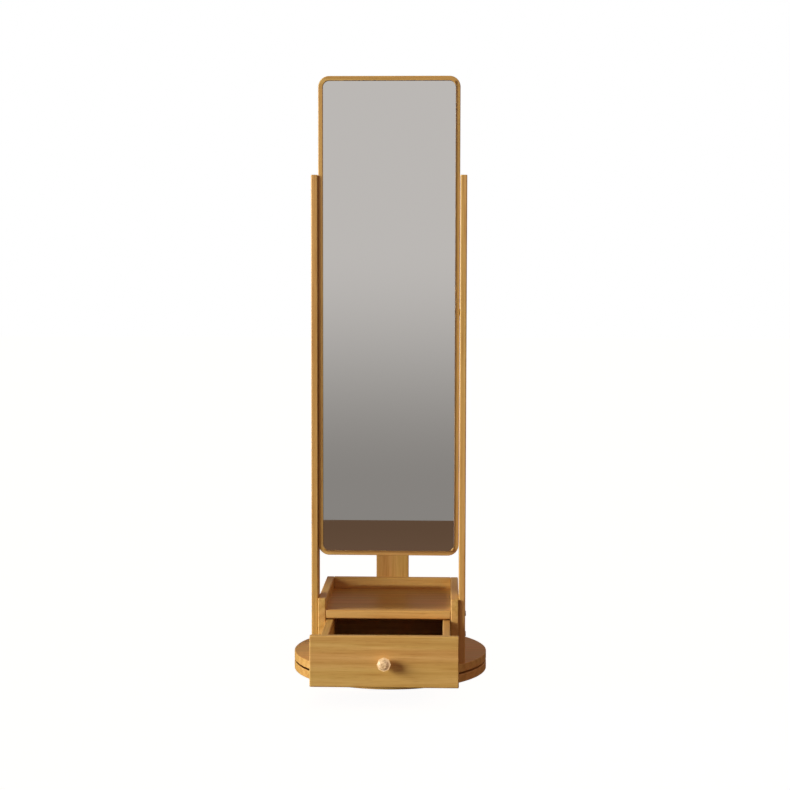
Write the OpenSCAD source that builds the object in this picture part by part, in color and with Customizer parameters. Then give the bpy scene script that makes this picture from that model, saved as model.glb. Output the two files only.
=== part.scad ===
// Cheval floor mirror that turns on a round two-disc base. Two side posts carry the
// tilting mirror, a low case holds a shoe shelf and a drawer, and a coat post with
// pegs stands behind. Origin at the centre of the underside, +Z up, mirror facing -Y.
// The drawer is drawn pulled out by drawer_out.

/* [Base] */
// Diameter of both round discs
base_d = 530; // [510:1:560]
// Thickness of the lower disc
lower_disc_t = 22; // [19:0.5:24]
// Thickness of the upper disc
upper_disc_t = 22; // [21:0.5:26]
// Open gap between the two discs
disc_gap = 5; // [5:0.1:5.6]
// Radius of the rounding on the discs' rims
disc_edge_r = 2; // [1:0.5:8]
// Height of the rubber feet
foot_h = 2; // [2:0.5:6]
// Number of feet near the rim
foot_count = 6; // [4:1:8]
// Pitch radius of the ball race
race_r = 110; // [90:1:120]
// Number of bearing balls
ball_count = 24; // [12:1:36]

/* [Case] */
// Outside width of the case
case_w = 375; // [375:1:380]
// Depth of the case from its front edges to its back
case_depth = 334; // [310:1:338]
// Front edge of the case, in front of the turning axis
case_front = 172; // [165:1:176]
// Height of the case above the upper disc
case_h = 172; // [168:1:190]
// Thickness of the side panels
side_t = 21; // [20:0.5:22]
// Thickness of the back panel
back_t = 20; // [18:0.5:22]
// Thickness of the shoe shelf
shelf_t = 23; // [18:0.5:24]
// Depth of the shoe tray, from the panels' top edges down to the shelf
tray_h = 31; // [28:1:36]

/* [Posts] */
// Thickness of each side post
post_t = 17.6; // [17.6:0.1:22]
// Depth of each side post, front to back
post_d = 66; // [60:1:70]
// Height of the posts' top ends above the floor
post_top = 1345; // [1250:5:1400]
// How far the posts' front edges sit behind the case's front edges
post_setback = 8; // [4:1:12]

/* [Mirror] */
// Outside width of the mirror frame
mirror_w = 373; // [368:0.5:373]
// Outside height of the mirror frame
mirror_h = 1264; // [1200:2:1270]
// Height of the frame's lower edge above the floor
mirror_z = 338; // [330:1:360]
// Visible width of the frame strips
frame_w = 12; // [11:0.5:14]
// Depth of the frame strips, front to back
frame_d = 24; // [23:0.5:28]
// Outer corner radius of the frame
frame_r = 29; // [24:1:36]
// Thickness of the mirror glass
glass_t = 5; // [4:0.5:6]
// How far the glass lies behind the frame's front face
glass_inset = 4; // [3:0.5:5]
// How far the frame's front face lies behind the posts' front edges
mirror_setback = 6; // [4:1:10]
// Height of the tilt pivots above the frame's middle
pivot_rise = 15; // [5:1:40]

/* [Drawer] */
// How far the drawer is pulled out
drawer_out = 258; // [0:1:262]
// Width of the drawer front
front_w = 373.5; // [366:0.5:375]
// Height of the drawer front
front_h = 130; // [124:1:132]
// Thickness of the drawer front
front_t = 18; // [16:0.5:20]
// Length of the drawer box behind its front
box_l = 300; // [290:1:302]
// Thickness of the drawer's sides
box_side_t = 19.6; // [18:0.2:20]
// Open gap between the drawer's sides and the shelf
box_top_gap = 3; // [2:0.5:12]
// Radius of the cut-glass knob over its corners
knob_r = 17.5; // [14:0.5:20]
// Height of the knob's centre above the floor
knob_z = 116; // [110:0.5:124]

/* [Coat post] */
// Width of the coat post
coat_post_w = 92; // [84:1:100]
// Thickness of the coat post
coat_post_t = 24; // [22:1:28]
// Height of the coat post's top above the floor
coat_post_top = 1500; // [1400:5:1540]
// Length of the peg bar
peg_bar_w = 340; // [300:2:344]
// Number of pegs
peg_count = 5; // [3:2:5]

/* [Hidden] */
$fn = 64;

// Clearances
wood_fit = 0.1;      // round a screw, dowel or insert set in wood
running_fit = 0.05;  // radial, round a turning bolt
free_gap = 0.3;      // between turning faces that are not a fit
glass_fit = 0.2;     // round the glass and its board inside the frame
cut = 1;             // how far a cutting shape runs past a face

// Heights of the base
base_r = base_d / 2;
lower_z0 = foot_h;
lower_z1 = lower_z0 + lower_disc_t;
upper_z0 = lower_z1 + disc_gap;
deck_z = upper_z0 + upper_disc_t;

// Ball race
ball_r = 2.9;
race_half_w = 12;
race_t = 4.5;
race_gap = 2;
race_groove_r = ball_r + free_gap;
ball_z = (lower_z1 + upper_z0) / 2;
lower_race_z0 = ball_z - race_gap / 2 - race_t;
upper_race_z0 = ball_z + race_gap / 2;
race_screw_r = race_r + 7.5;
race_screw_count = 6;
race_screw_l = 14;
cage_half_w = 6;
cage_t = 1.2;

// Centre bolt, held by a washer and a lock nut
bolt_r = 4;
bolt_head_r = 6.5;
bolt_head_h = 5.3;
washer_r = 11;
washer_t = 1.6;
nut_h = 8;
centre_recess_r = 13;
lower_recess_h = 8;
upper_recess_h = 12;

// Feet
foot_r = 14;
centre_foot_r = 22;
foot_ring_r = base_r - 30;

// Case
side_out = case_w / 2;
side_in = side_out - side_t;
front_y = -case_front;
back_y = front_y + case_depth;
back_in_y = back_y - back_t;
case_top = deck_z + case_h;
shelf_top = case_top - tray_h;
shelf_z0 = shelf_top - shelf_t;
dowel_r = 4;
dowel_in_panel = 12;
dowel_in_board = 16;
shelf_dowel_y = [-120, 0, 90];
back_dowel_z = [30, 130];

// Posts
post_out = side_out + post_t;
post_front = front_y + post_setback;
post_mid_y = post_front + post_d / 2;
post_edge_r = 3;
post_bolt_z = [72, 127];
post_bolt_r = 3;
post_bolt_l = 34;
post_bolt_head_r = 7;
post_bolt_head_h = 2.2;
insert_r = 5;
insert_l = 18;

// Mirror
mirror_front = post_front + mirror_setback;
mirror_back = mirror_front + frame_d;
mirror_mid_z = mirror_z + mirror_h / 2;
glass_front = mirror_front + glass_inset;
board_front = glass_front + glass_t;
board_t = mirror_back - board_front;
pane_w = mirror_w - 2 * frame_w - 2 * glass_fit;
pane_h = mirror_h - 2 * frame_w - 2 * glass_fit;
pane_r = frame_r - frame_w - glass_fit;
joint_z = mirror_h / 2 - frame_r;
frame_dowel_r = 3;
frame_dowel_l = 24;

// Tilt pivots
pivot_y = board_front + board_t / 2;
pivot_z = mirror_mid_z + pivot_rise;
pivot_insert_l = 24;
pivot_bolt_in = 20;
pivot_head_r = 7;
pivot_head_h = 4;
bush_r = 6.5;
bush_flange_r = 9;
bush_flange_t = 1.5;
cap_t = 2.4;
cap_r = 9.4;
pivot_recess_r = 9.5;
flange_out = post_out - cap_t - 2 * free_gap - 0.1 - pivot_head_h;
bush_end = flange_out - bush_flange_t;
pivot_gap = side_out - mirror_w / 2;
pivot_washer_t = pivot_gap - 0.4;
pivot_washer_r = 9;

// Screws from under the upper disc into the case, the posts and the coat post
disc_screw_shank_r = 2.2;
disc_screw_head_r = 4.6;
disc_screw_l = 58;
side_screw_y = [-90, 10, 110];
coat_screw_x = 26;

// Coat post
coat_post_front = back_y;
coat_post_back = back_y + coat_post_t;
coat_post_r = 18;
coat_screw_z = [40, 140];
coat_screw_l = 38;
peg_bar_h = 50;
peg_bar_t = 20;
peg_bar_z = coat_post_top - 70;
peg_bar_back = coat_post_back + peg_bar_t;
peg_bolt_x = 30;
peg_bolt_l = 36;
peg_pitch = (peg_bar_w - 60) / (peg_count - 1);
peg_r = 8;
peg_l = 34;
peg_head_r = 13;
peg_head_l = 12;
tenon_r = 6;
tenon_l = 16;

// Drawer at its drawn place
closed_front_y = front_y - front_t;
front_face_y = closed_front_y - drawer_out;
box_y0 = front_face_y + front_t;
box_y1 = box_y0 + box_l;
front_z0 = deck_z + 2;
box_z0 = deck_z + 11;
box_side_out = side_in - 1.4;
box_side_in = box_side_out - box_side_t;
bottom_t = 6;
bottom_z0 = box_z0 + 8;
bottom_groove = 6;
box_back_t = 12;
box_top = shelf_z0 - box_top_gap;
box_back_h = 42;
runner_h = 13;
runner_z0 = deck_z + 53;
runner_y0 = front_y + 7;
runner_l = 290;
runner_side_gap = 0.8;
runner_top_gap = 0.5;
groove_depth = 8.5;
runner_in = box_side_out - groove_depth + runner_side_gap;
runner_screw_y = [-130, -20, 90];
stop_w = 30;
stop_d = 13;
stop_h = 15;
stop_travel = 14.5;
cleat_h = 10;
stop_y1 = box_y1 - box_back_t - stop_travel;
drawer_dowel_z = [24, 78];
drawer_dowel_l = 32;
drawer_dowel_in_front = 12;

// Knob
knob_base_r = 9;
knob_base_t = 4;
knob_l = 24;
knob_screw_r = 2;
knob_screw_in = 12;
knob_screw_head_r = 4.5;
knob_screw_head_t = 2.4;

wood = [0.74, 0.56, 0.32];
wood_deep = [0.62, 0.44, 0.24];
steel = [0.72, 0.73, 0.75];
brass = [0.80, 0.65, 0.36];
rubber = [0.12, 0.12, 0.12];
nylon = [0.90, 0.89, 0.85];

// A rectangle with rounded corners, centred
module rounded_rect(w, h, r) {
    square([w - 2 * r, h], center = true);
    square([w, h - 2 * r], center = true);
    for (sx = [-1, 1], sy = [-1, 1])
        translate([sx * (w / 2 - r), sy * (h / 2 - r)]) circle(r);
}

// A block between two opposite corners
module block(low, high) {
    translate(low) cube(high - low);
}

// The children, as drawn at +X and mirrored at -X
module both_sides() {
    children();
    mirror([1, 0, 0]) children();
}

// A rod of radius r and length l, starting at z = 0
module rod(r, l) {
    cylinder(r = r, h = l);
}

// A countersunk screw pointing up, its head's flat at z = 0; grow widens it for a hole
module countersunk_screw(r, head_r, l, grow = 0) {
    rod(r + grow, l + grow);
    cylinder(r1 = head_r + grow, r2 = r + grow, h = head_r - r);
}

// A round disc with a rounded rim
module rimmed_disc(r, t, edge) {
    rotate_extrude() {
        square([r - edge, t]);
        translate([0, edge]) square([r, t - 2 * edge]);
        for (z = [edge, t - edge]) translate([r - edge, z]) circle(edge);
    }
}

// A round groove for the balls
module race_groove() {
    translate([0, 0, ball_z]) rotate_extrude() translate([race_r, 0]) circle(race_groove_r);
}

module race_ring(z0, grow = 0) {
    translate([0, 0, z0]) difference() {
        rod(race_r + race_half_w + grow, race_t);
        translate([0, 0, -cut]) rod(race_r - race_half_w - grow, race_t + 2 * cut);
    }
}

module around(count, r) {
    for (i = [0 : count - 1]) rotate([0, 0, (i + 0.5) * 360 / count]) translate([r, 0, 0]) children();
}

module lower_race_screw_set(grow = 0) {
    around(race_screw_count, race_screw_r) translate([0, 0, lower_race_z0 + race_t - free_gap])
        mirror([0, 0, 1]) countersunk_screw(1.6, 3.4, race_screw_l, grow);
}

module upper_race_screw_set(grow = 0) {
    around(race_screw_count, race_screw_r) translate([0, 0, upper_race_z0 + free_gap])
        countersunk_screw(1.6, 3.4, race_screw_l, grow);
}

// Base ---------------------------------------------------------------------------------

module lower_disc() {
    color(wood) difference() {
        translate([0, 0, lower_z0]) rimmed_disc(base_r, lower_disc_t, disc_edge_r);
        translate([0, 0, lower_race_z0]) difference() {
            rod(race_r + race_half_w + wood_fit, race_t + cut);
            translate([0, 0, -cut]) rod(race_r - race_half_w - wood_fit, race_t + 3 * cut);
        }
        lower_race_screw_set(wood_fit);
        translate([0, 0, lower_z0 - cut]) rod(centre_recess_r, lower_recess_h + cut);
        translate([0, 0, lower_z0]) rod(bolt_r + wood_fit, lower_disc_t + cut);
    }
}

module rubber_feet() {
    color(rubber) {
        rod(centre_foot_r, foot_h);
        around(foot_count, foot_ring_r) rod(foot_r, foot_h);
    }
}

module lower_race() {
    color(steel) difference() {
        race_ring(lower_race_z0);
        race_groove();
        lower_race_screw_set(wood_fit);
        around(race_screw_count, race_screw_r)
            translate([0, 0, lower_race_z0 + race_t - free_gap]) rod(3.4 + wood_fit, cut);
    }
}

module lower_race_screws() {
    color(steel) lower_race_screw_set();
}

module centre_bolt() {
    head_z0 = lower_z0 + lower_recess_h - washer_t - bolt_head_h;
    top = deck_z - upper_recess_h + free_gap + washer_t + nut_h + cut;
    color(steel) {
        translate([0, 0, head_z0]) rod(bolt_head_r, bolt_head_h);
        translate([0, 0, head_z0]) rod(bolt_r, top - head_z0);
    }
}

module centre_washers() {
    color(steel) for (z = [lower_z0 + lower_recess_h - washer_t, deck_z - upper_recess_h + free_gap])
        translate([0, 0, z]) difference() {
            rod(washer_r, washer_t);
            translate([0, 0, -cut]) rod(bolt_r + wood_fit, washer_t + 2 * cut);
        }
}

module centre_nut() {
    color(steel) translate([0, 0, deck_z - upper_recess_h + free_gap + washer_t]) difference() {
        cylinder(r = bolt_head_r * 1.15, h = nut_h, $fn = 6);
        translate([0, 0, -cut]) rod(bolt_r + wood_fit, nut_h + 2 * cut);
    }
}

module ball_cage() {
    color(brass) difference() {
        translate([0, 0, ball_z - cage_t / 2]) difference() {
            rod(race_r + cage_half_w, cage_t);
            translate([0, 0, -cut]) rod(race_r - cage_half_w, cage_t + 2 * cut);
        }
        around(ball_count, race_r) translate([0, 0, ball_z - cage_t]) rod(ball_r + wood_fit, 2 * cage_t);
    }
}

module bearing_balls() {
    color(steel) around(ball_count, race_r) translate([0, 0, ball_z]) sphere(ball_r);
}

// Turning upper part -------------------------------------------------------------------

module disc_screw_set(grow = 0) {
    translate([0, 0, upper_z0]) {
        both_sides() {
            for (y = side_screw_y) translate([side_out - side_t / 2, y, 0]) one_disc_screw(grow);
            translate([side_out + post_t / 2, post_mid_y, 0]) one_disc_screw(grow);
            translate([coat_screw_x, coat_post_front + coat_post_t / 2, 0]) one_disc_screw(grow);
        }
    }
}

module one_disc_screw(grow) {
    countersunk_screw(disc_screw_shank_r, disc_screw_head_r, disc_screw_l, grow);
}

module disc_screws() {
    color(steel) disc_screw_set();
}

module upper_disc() {
    color(wood) difference() {
        translate([0, 0, upper_z0]) rimmed_disc(base_r, upper_disc_t, disc_edge_r);
        translate([0, 0, upper_race_z0 - cut]) difference() {
            rod(race_r + race_half_w + wood_fit, race_t + cut);
            translate([0, 0, -cut]) rod(race_r - race_half_w - wood_fit, race_t + 3 * cut);
        }
        upper_race_screw_set(wood_fit);
        translate([0, 0, deck_z - upper_recess_h]) rod(centre_recess_r, upper_recess_h + cut);
        translate([0, 0, upper_z0 - cut]) rod(bolt_r + running_fit, upper_disc_t);
        disc_screw_set(wood_fit);
    }
}

module upper_race() {
    color(steel) difference() {
        race_ring(upper_race_z0);
        race_groove();
        upper_race_screw_set(wood_fit);
        around(race_screw_count, race_screw_r)
            translate([0, 0, upper_race_z0 + free_gap - cut]) rod(3.4 + wood_fit, cut);
    }
}

module upper_race_screws() {
    color(steel) upper_race_screw_set();
}

module case_dowel_set(grow = 0) {
    x0 = side_in - dowel_in_board;
    both_sides() {
        for (y = shelf_dowel_y) translate([x0, y, shelf_z0 + shelf_t / 2])
            rotate([0, 90, 0]) rod(dowel_r + grow, dowel_in_board + dowel_in_panel + grow);
        for (z = back_dowel_z) translate([x0, back_y - back_t / 2, deck_z + z])
            rotate([0, 90, 0]) rod(dowel_r + grow, dowel_in_board + dowel_in_panel + grow);
    }
}

module case_dowels() {
    color(wood_deep) case_dowel_set();
}

// A threaded insert in the side panel for each post bolt
module post_insert_set(r) {
    both_sides() for (z = post_bolt_z) translate([side_out - insert_l, post_mid_y, deck_z + z])
        rotate([0, 90, 0]) rod(r, insert_l);
}

module post_bolt_set(grow = 0) {
    both_sides() for (z = post_bolt_z) translate([post_out, post_mid_y, deck_z + z])
        rotate([0, -90, 0]) rod(post_bolt_r + grow, post_bolt_l + grow);
}

module side_panel() {
    color(wood) difference() {
        block([side_in, front_y, deck_z], [side_out, back_y, case_top]);
        disc_screw_set(wood_fit);
        case_dowel_set(wood_fit);
        post_insert_set(insert_r + wood_fit);
        runner_screw_set(wood_fit);
    }
}

module back_panel() {
    color(wood) difference() {
        block([-side_in, back_in_y, deck_z], [side_in, back_y, case_top]);
        case_dowel_set(wood_fit);
        coat_post_screw_set(wood_fit);
    }
}

module shoe_shelf() {
    color(wood) difference() {
        block([-side_in, front_y, shelf_z0], [side_in, back_in_y, shelf_top]);
        case_dowel_set(wood_fit);
    }
}

module runner_screw_set(grow = 0) {
    both_sides() for (y = runner_screw_y)
        translate([runner_in, y, runner_z0 + runner_h / 2]) rotate([0, 90, 0])
            countersunk_screw(1.7, 3.4, 24, grow);
}

module runner() {
    color(wood_deep) difference() {
        block([runner_in, runner_y0, runner_z0], [side_in, runner_y0 + runner_l, runner_z0 + runner_h]);
        runner_screw_set(wood_fit);
    }
}

module runner_screws() {
    color(steel) runner_screw_set();
}

// Glued to the upper disc, where the cleat under the drawer runs against it
module drawer_stop() {
    color(wood_deep)
        block([-stop_w / 2, stop_y1 - stop_d, deck_z], [stop_w / 2, stop_y1, deck_z + stop_h]);
}

module post() {
    mid_x = side_out + post_t / 2;
    color(wood) difference() {
        translate([mid_x, post_mid_y, deck_z])
            linear_extrude(post_top - deck_z) rounded_rect(post_t, post_d, post_edge_r);
        disc_screw_set(wood_fit);
        post_bolt_set(wood_fit);
        translate([side_out - cut, pivot_y, pivot_z]) rotate([0, 90, 0])
            rod(bush_r + wood_fit, post_t + 2 * cut);
        translate([bush_end, pivot_y, pivot_z]) rotate([0, 90, 0])
            rod(pivot_recess_r, post_t);
    }
}

module post_bolts() {
    color(steel) {
        post_bolt_set();
        both_sides() for (z = post_bolt_z) translate([post_out, post_mid_y, deck_z + z])
            rotate([0, 90, 0]) rod(post_bolt_head_r, post_bolt_head_h);
    }
}

module post_inserts() {
    color(brass) difference() {
        post_insert_set(insert_r);
        post_bolt_set(running_fit);
    }
}

module pivot_bushes() {
    color(nylon) both_sides() translate([0, pivot_y, pivot_z]) rotate([0, 90, 0]) difference() {
        union() {
            translate([0, 0, side_out]) rod(bush_r, bush_end - side_out);
            translate([0, 0, bush_end]) rod(bush_flange_r, bush_flange_t);
        }
        rod(bolt_r + running_fit, post_out);
    }
}

module pivot_caps() {
    color(wood) both_sides() translate([post_out - cap_t, pivot_y, pivot_z])
        rotate([0, 90, 0]) rod(cap_r, cap_t);
}

// Coat post ----------------------------------------------------------------------------

module coat_post_screw_set(grow = 0) {
    both_sides() for (z = coat_screw_z) translate([coat_screw_x, coat_post_back, deck_z + z])
        rotate([90, 0, 0]) countersunk_screw(2.2, 4.6, coat_screw_l, grow);
}

module peg_bar_bolt_set(grow = 0) {
    both_sides() translate([peg_bolt_x, peg_bar_back, peg_bar_z])
        rotate([90, 0, 0]) countersunk_screw(2.6, 5.4, peg_bolt_l, grow);
}

module coat_post() {
    height = coat_post_top - deck_z;
    color(wood) difference() {
        translate([0, coat_post_back, deck_z]) rotate([90, 0, 0]) linear_extrude(coat_post_t) {
            translate([0, height / 2]) rounded_rect(coat_post_w, height, coat_post_r);
            translate([-coat_post_w / 2, 0]) square([coat_post_w, height / 2]);
        }
        coat_post_screw_set(wood_fit);
        peg_bar_bolt_set(wood_fit);
        disc_screw_set(wood_fit);
    }
}

module coat_post_screws() {
    color(steel) coat_post_screw_set();
}

module peg_bar() {
    color(wood) difference() {
        translate([0, peg_bar_back, peg_bar_z]) rotate([90, 0, 0])
            linear_extrude(peg_bar_t) rounded_rect(peg_bar_w, peg_bar_h, peg_bar_h / 2 - 1);
        peg_bar_bolt_set(wood_fit);
        peg_tenons(wood_fit);
    }
}

module peg_bar_bolts() {
    color(steel) peg_bar_bolt_set();
}

module along_peg_bar() {
    for (i = [0 : peg_count - 1])
        translate([(i - (peg_count - 1) / 2) * peg_pitch, peg_bar_back, peg_bar_z]) children();
}

module peg_tenons(grow = 0) {
    along_peg_bar() rotate([90, 0, 0]) rod(tenon_r + grow, tenon_l + grow);
}

// Turned pegs with round heads
module coat_pegs() {
    color(wood) {
        peg_tenons();
        along_peg_bar() rotate([-90, 0, 0]) rotate_extrude() {
            square([peg_r, peg_l]);
            translate([0, peg_l]) square([peg_head_r, peg_head_l / 2]);
            translate([0, peg_l + peg_head_l / 2]) square([peg_head_r - 3, 3]);
            intersection() {
                translate([peg_head_r - 3, peg_l + peg_head_l / 2]) circle(3);
                square([peg_head_r, peg_l + peg_head_l]);
            }
        }
    }
}

// Tilting mirror -----------------------------------------------------------------------

// The outline of the whole frame, flat, centred on the mirror's middle
module frame_outline() {
    difference() {
        rounded_rect(mirror_w, mirror_h, frame_r);
        rounded_rect(mirror_w - 2 * frame_w, mirror_h - 2 * frame_w, frame_r - frame_w);
    }
}

// Stands a flat shape up in the mirror's plane, from y = back forwards by t
module upright(back, t) {
    translate([0, back, mirror_mid_z]) rotate([90, 0, 0]) linear_extrude(t) children();
}

module frame_dowel_set(grow = 0) {
    for (sx = [-1, 1], sz = [-1, 1])
        translate([sx * (mirror_w - frame_w) / 2, mirror_front + frame_d / 2,
                   mirror_mid_z + sz * joint_z - frame_dowel_l / 2 - grow])
            rod(frame_dowel_r + grow, frame_dowel_l + 2 * grow);
}

module pivot_insert_bores(r) {
    both_sides() translate([mirror_w / 2 - pivot_insert_l, pivot_y, pivot_z])
        rotate([0, 90, 0]) rod(r, pivot_insert_l);
}

module stile(side) {
    color(wood) difference() {
        upright(mirror_back, frame_d) intersection() {
            frame_outline();
            translate([side * mirror_w / 2, 0]) square([mirror_w, 2 * joint_z], center = true);
        }
        frame_dowel_set(wood_fit);
        pivot_insert_bores(insert_r + wood_fit);
    }
}

module rail(end) {
    color(wood) difference() {
        upright(mirror_back, frame_d) intersection() {
            frame_outline();
            translate([0, end * (joint_z + frame_r)]) square([2 * mirror_w, 2 * frame_r], center = true);
        }
        frame_dowel_set(wood_fit);
    }
}

module frame_dowels() {
    color(wood_deep) frame_dowel_set();
}

module mirror_glass() {
    color([0.75, 0.77, 0.78]) upright(board_front, glass_t) rounded_rect(pane_w, pane_h, pane_r);
}

module backing_board() {
    color(wood_deep) difference() {
        upright(mirror_back, board_t) rounded_rect(pane_w, pane_h, pane_r);
        pivot_insert_bores(insert_r + wood_fit);
    }
}

module pivot_inserts() {
    color(brass) difference() {
        pivot_insert_bores(insert_r);
        both_sides() translate([0, pivot_y, pivot_z]) rotate([0, 90, 0])
            rod(bolt_r, mirror_w);
    }
}

module pivot_bolts() {
    start = mirror_w / 2 - pivot_bolt_in;
    color(steel) both_sides() translate([0, pivot_y, pivot_z]) rotate([0, 90, 0]) {
        translate([0, 0, start]) rod(bolt_r - running_fit, mirror_w / 2 - start);
        translate([0, 0, mirror_w / 2]) rod(bolt_r, flange_out - mirror_w / 2 + free_gap);
        translate([0, 0, flange_out + free_gap]) rod(pivot_head_r, pivot_head_h);
    }
}

module pivot_washers() {
    color(nylon) both_sides() translate([mirror_w / 2, pivot_y, pivot_z]) rotate([0, 90, 0])
        difference() {
            rod(pivot_washer_r, pivot_washer_t);
            translate([0, 0, -cut]) rod(bolt_r + wood_fit, pivot_washer_t + 2 * cut);
        }
}

// Drawer -------------------------------------------------------------------------------

module drawer_dowel_set(grow = 0) {
    x = (box_side_in + box_side_out) / 2;
    both_sides() for (z = drawer_dowel_z)
        translate([x - 2, box_y0 - drawer_dowel_in_front - grow, box_z0 + z]) rotate([-90, 0, 0])
            rod(dowel_r + grow, drawer_dowel_l + 2 * grow);
}

module drawer_front() {
    color(wood) difference() {
        block([-front_w / 2, front_face_y, front_z0], [front_w / 2, box_y0, front_z0 + front_h]);
        drawer_dowel_set(wood_fit);
        translate([0, front_face_y - cut, knob_z]) rotate([-90, 0, 0])
            rod(knob_screw_r + wood_fit, front_t + 2 * cut);
    }
}

module drawer_side() {
    color(wood) difference() {
        block([box_side_in, box_y0, box_z0], [box_side_out, box_y1, box_top]);
        block([box_side_out - groove_depth, box_y0 - cut, runner_z0 - runner_top_gap],
              [box_side_out + cut, box_y1 + cut, runner_z0 + runner_h + runner_top_gap]);
        block([box_side_in - cut, box_y0 - cut, bottom_z0 - wood_fit],
              [box_side_in + bottom_groove + wood_fit, box_y1 + cut, bottom_z0 + bottom_t + wood_fit]);
        drawer_dowel_set(wood_fit);
    }
}

// A low back board, glued between the sides
module drawer_back() {
    color(wood) block([-box_side_in, box_y1 - box_back_t, bottom_z0 + bottom_t],
                      [box_side_in, box_y1, bottom_z0 + bottom_t + box_back_h]);
}

module drawer_bottom() {
    color(wood_deep) block([-box_side_in - bottom_groove, box_y0, bottom_z0],
                           [box_side_in + bottom_groove, box_y1, bottom_z0 + bottom_t]);
}

// Glued under the drawer's bottom at the back, to catch the stop
module drawer_cleat() {
    color(wood_deep) block([-stop_w / 2, box_y1 - box_back_t, bottom_z0 - cleat_h],
                           [stop_w / 2, box_y1, bottom_z0]);
}

module drawer_dowels() {
    color(wood_deep) drawer_dowel_set();
}

// A knob of cut glass with eight sides and a flat table
module drawer_knob() {
    color([0.93, 0.87, 0.78]) translate([0, front_face_y - knob_base_t, knob_z]) rotate([90, 0, 0])
        difference() {
            rotate_extrude($fn = 8) polygon([
                [0, 0], [0.45 * knob_r, 0], [knob_r, 0.45 * knob_l], [knob_r, 0.6 * knob_l],
                [0.58 * knob_r, knob_l], [0, knob_l]
            ]);
            translate([0, 0, -cut]) rod(knob_screw_r + wood_fit, knob_screw_in + cut);
        }
}

module knob_base() {
    color(brass) translate([0, front_face_y, knob_z]) rotate([90, 0, 0]) difference() {
        cylinder(r1 = knob_base_r, r2 = 0.8 * knob_base_r, h = knob_base_t);
        translate([0, 0, -cut]) rod(knob_screw_r + wood_fit, knob_base_t + 2 * cut);
    }
}

module knob_screw() {
    color(steel) {
        translate([0, box_y0, knob_z]) rotate([90, 0, 0])
            rod(knob_screw_r, front_t + knob_base_t + knob_screw_in - 1);
        translate([0, box_y0, knob_z]) rotate([-90, 0, 0]) rod(knob_screw_head_r, knob_screw_head_t);
    }
}

// Parts --------------------------------------------------------------------------------

lower_disc();
rubber_feet();
lower_race();
lower_race_screws();
centre_bolt();
centre_nut();
centre_washers();
ball_cage();
bearing_balls();
upper_disc();
upper_race();
upper_race_screws();
mirror([1, 0, 0]) side_panel();  // left_side_panel
side_panel();  // right_side_panel
back_panel();
shoe_shelf();
case_dowels();
mirror([1, 0, 0]) runner();  // left_runner
runner();  // right_runner
runner_screws();
drawer_stop();
mirror([1, 0, 0]) post();  // left_post
post();  // right_post
post_bolts();
post_inserts();
pivot_bushes();
pivot_caps();
disc_screws();
coat_post();
coat_post_screws();
peg_bar();
peg_bar_bolts();
coat_pegs();
stile(-1);  // left_stile
stile(1);  // right_stile
rail(1);  // top_rail
rail(-1);  // bottom_rail
frame_dowels();
mirror_glass();
backing_board();
pivot_inserts();
pivot_bolts();
pivot_washers();
drawer_front();
mirror([1, 0, 0]) drawer_side();  // drawer_left_side
drawer_side();  // drawer_right_side
drawer_back();
drawer_bottom();
drawer_cleat();
drawer_dowels();
drawer_knob();
knob_base();
knob_screw();
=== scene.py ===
import math

import bpy
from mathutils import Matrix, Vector


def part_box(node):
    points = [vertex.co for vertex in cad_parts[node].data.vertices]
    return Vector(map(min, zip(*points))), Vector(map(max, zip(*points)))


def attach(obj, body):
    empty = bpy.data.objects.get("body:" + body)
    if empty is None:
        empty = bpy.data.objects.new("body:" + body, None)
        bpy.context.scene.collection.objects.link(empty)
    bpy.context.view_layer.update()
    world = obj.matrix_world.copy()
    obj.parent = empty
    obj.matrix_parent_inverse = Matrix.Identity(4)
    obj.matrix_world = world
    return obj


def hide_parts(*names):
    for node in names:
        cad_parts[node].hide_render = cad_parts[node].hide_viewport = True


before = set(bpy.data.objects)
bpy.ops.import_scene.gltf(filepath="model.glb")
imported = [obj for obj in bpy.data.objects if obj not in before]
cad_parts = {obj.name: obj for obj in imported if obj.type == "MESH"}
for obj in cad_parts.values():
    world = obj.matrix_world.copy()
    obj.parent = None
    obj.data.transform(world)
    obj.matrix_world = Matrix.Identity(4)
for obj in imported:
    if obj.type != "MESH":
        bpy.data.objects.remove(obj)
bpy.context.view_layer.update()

# --- Camera -------------------------------------------------------------------------------
# A long lens at chest height, a little to the right of the mirror, looking slightly down
# and slightly to the left.
CAMERA_LENS = 72.73
CAMERA_PLACE = (0.1535, -4.3701, 1.0461)
CAMERA_TURN = (math.pi / 2 - 0.0663, -0.0019, 0.0326)
camera_data = bpy.data.cameras.new("camera")
camera_data.lens = CAMERA_LENS
camera_data.sensor_width = 36.0
camera_data.clip_end = 200.0
camera = bpy.data.objects.new("camera", camera_data)
camera.location = CAMERA_PLACE
camera.rotation_euler = CAMERA_TURN
bpy.context.scene.collection.objects.link(camera)
bpy.context.scene.camera = camera
bpy.context.scene.view_settings.view_transform = "Standard"


# --- Studio -------------------------------------------------------------------------------
# A white floor under a soft sky, dimmer overhead and on the left, and one softened key lamp low
# on the left. A wall card, a floor card and a soft box show in gloss only. Flags that only cast
# shade keep the key lamp off the coat post, the shelf, the frame's lips and the discs' gap.
SKY_LEVEL = 0.54
SKY_LEAN = (0.20, 0.0, -0.46)
FILL_TINT = (1.05, 0.70, 0.49, 1.0)
KEY_POWER = 4.8
KEY_TINT = (0.93, 1.0, 0.90)
KEY_SIZE = math.radians(27)
KEY_FROM_FRONT = math.radians(66)
KEY_HEIGHT = math.radians(17.5)
FLOOR_SIZE = 60.0
FLOOR_TONE = (0.34, 0.34, 0.34, 1.0)
FLOOR_GLOW = 0.95
WHITE = (1.0, 1.0, 1.0, 1.0)


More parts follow.
